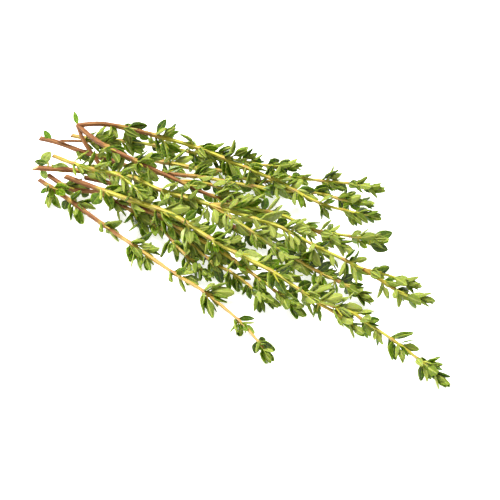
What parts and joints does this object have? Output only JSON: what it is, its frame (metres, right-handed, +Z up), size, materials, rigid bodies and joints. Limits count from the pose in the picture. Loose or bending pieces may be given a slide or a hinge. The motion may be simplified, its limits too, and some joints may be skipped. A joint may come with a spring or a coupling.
{
  "type": "thyme bundle",
  "caption": "Loose bundle of cut thyme sprigs lying on its side, with thin woody stems, small paired leaves, side shoots in the leaf axils and leafy tips.",
  "frame": {"origin": "centre of the bundle's box, on the surface it lies on", "axes": "+X from the cut ends to the tips, +Z up, +Y to the back of the bundle as the picture shows it"},
  "size_m": [0.1864, 0.0934, 0.0233],
  "materials": {
    "leaf_green": "matte",
    "leaf_pale": "matte",
    "stem_woody": "matte",
    "stem_young": "satin"
  },
  "bodies": {
    "root": {"sprig_back_forked": "leaf_green", "sprig_back_yellow": "leaf_pale", "sprig_back_lower": "leaf_green", "sprig_back_short": "leaf_green", "sprig_middle_branched": "leaf_pale", "sprig_middle_lime": "leaf_pale", "sprig_middle_short": "leaf_green", "sprig_front_long": "leaf_green", "sprig_middle_under": "leaf_green", "sprig_middle_low": "leaf_green", "sprig_front_short": "leaf_pale", "sprig_front_edge": "leaf_green"}
  },
  "joints": []
}
